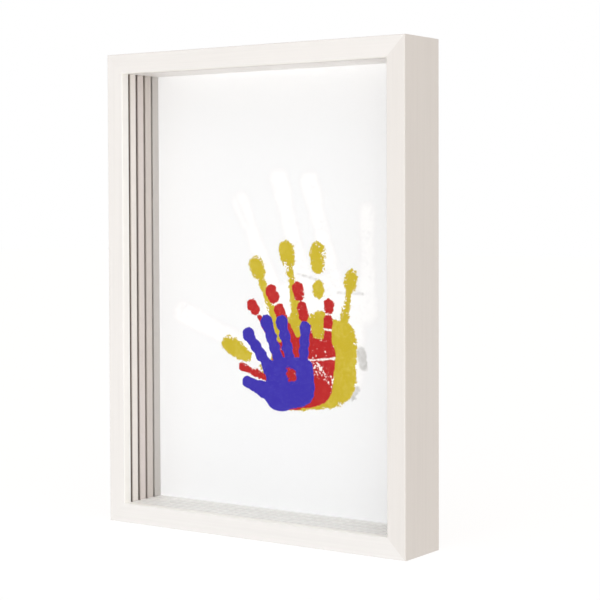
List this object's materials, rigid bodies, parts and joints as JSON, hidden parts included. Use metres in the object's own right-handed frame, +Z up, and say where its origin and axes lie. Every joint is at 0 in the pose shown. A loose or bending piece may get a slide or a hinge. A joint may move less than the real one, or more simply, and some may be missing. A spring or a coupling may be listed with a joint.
{
  "type": "handprint keepsake frame",
  "caption": "Deep white box frame that stands or hangs, with clear panes one behind another, each carrying a painted handprint, held in by turn buttons at the back.",
  "frame": {"origin": "under the middle of the frame, on the surface that it stands on", "axes": "+Z up, the front faces -Y, +X to the right of someone looking at the front"},
  "size_m": [0.26, 0.048, 0.35],
  "materials": {
    "painted_wood": "satin",
    "painted_strip": "satin",
    "clear_acrylic": "gloss",
    "white_card": "matte",
    "hardboard": "matte",
    "zinc_steel": "satin",
    "blue_paint": "matte",
    "red_paint": "matte",
    "yellow_paint": "matte",
    "white_paint": "matte"
  },
  "bodies": {
    "frame": {"top_rail": "painted_wood", "bottom_rail": "painted_wood", "left_rail": "painted_wood", "right_rail": "painted_wood", "front_spacer_top": "painted_strip", "front_spacer_bottom": "painted_strip", "front_spacer_left": "painted_strip", "front_spacer_right": "painted_strip", "second_spacer_top": "painted_strip", "second_spacer_bottom": "painted_strip", "second_spacer_left": "painted_strip", "second_spacer_right": "painted_strip", "third_spacer_top": "painted_strip", "third_spacer_bottom": "painted_strip", "third_spacer_left": "painted_strip", "third_spacer_right": "painted_strip", "rear_spacer_top": "painted_strip", "rear_spacer_bottom": "painted_strip", "rear_spacer_left": "painted_strip", "rear_spacer_right": "painted_strip", "front_pane": "clear_acrylic", "second_pane": "clear_acrylic", "third_pane": "clear_acrylic", "rear_pane": "clear_acrylic", "baby_handprint": "blue_paint", "toddler_handprint": "red_paint", "child_handprint": "yellow_paint", "parent_handprint": "white_paint", "backing_card": "white_card", "back_board": "hardboard", "upright_hanger": "zinc_steel", "sideways_hanger": "zinc_steel", "pivot_screws": "zinc_steel", "corner_v_nails": "zinc_steel"},
    "turn_button_bottom_left": {"turn_button_bottom_left": "zinc_steel"},
    "turn_button_bottom_right": {"turn_button_bottom_right": "zinc_steel"},
    "turn_button_top_left": {"turn_button_top_left": "zinc_steel"},
    "turn_button_top_right": {"turn_button_top_right": "zinc_steel"},
    "turn_button_left_upper": {"turn_button_left_upper": "zinc_steel"},
    "turn_button_left_lower": {"turn_button_left_lower": "zinc_steel"},
    "turn_button_right_upper": {"turn_button_right_upper": "zinc_steel"},
    "turn_button_right_lower": {"turn_button_right_lower": "zinc_steel"}
  },
  "joints": [
    {"name": "turn_bottom_left", "type": "hinge", "parent": "frame", "child": "turn_button_bottom_left", "pos_m": [-0.068, 0.0217, 0.00475], "axis": [0, 1, 0], "range_deg": [-90, 90]},
    {"name": "turn_bottom_right", "type": "hinge", "parent": "frame", "child": "turn_button_bottom_right", "pos_m": [0.068, 0.0217, 0.00475], "axis": [0, 1, 0], "range_deg": [-90, 90]},
    {"name": "turn_top_left", "type": "hinge", "parent": "frame", "child": "turn_button_top_left", "pos_m": [-0.068, 0.0217, 0.34525], "axis": [0, 1, 0], "range_deg": [-90, 90]},
    {"name": "turn_top_right", "type": "hinge", "parent": "frame", "child": "turn_button_top_right", "pos_m": [0.068, 0.0217, 0.34525], "axis": [0, 1, 0], "range_deg": [-90, 90]},
    {"name": "turn_left_upper", "type": "hinge", "parent": "frame", "child": "turn_button_left_upper", "pos_m": [-0.12525, 0.0217, 0.262], "axis": [0, 1, 0], "range_deg": [-90, 90]},
    {"name": "turn_left_lower", "type": "hinge", "parent": "frame", "child": "turn_button_left_lower", "pos_m": [-0.12525, 0.0217, 0.088], "axis": [0, 1, 0], "range_deg": [-90, 90]},
    {"name": "turn_right_upper", "type": "hinge", "parent": "frame", "child": "turn_button_right_upper", "pos_m": [0.12525, 0.0217, 0.262], "axis": [0, 1, 0], "range_deg": [-90, 90]},
    {"name": "turn_right_lower", "type": "hinge", "parent": "frame", "child": "turn_button_right_lower", "pos_m": [0.12525, 0.0217, 0.088], "axis": [0, 1, 0], "range_deg": [-90, 90]}
  ]
}
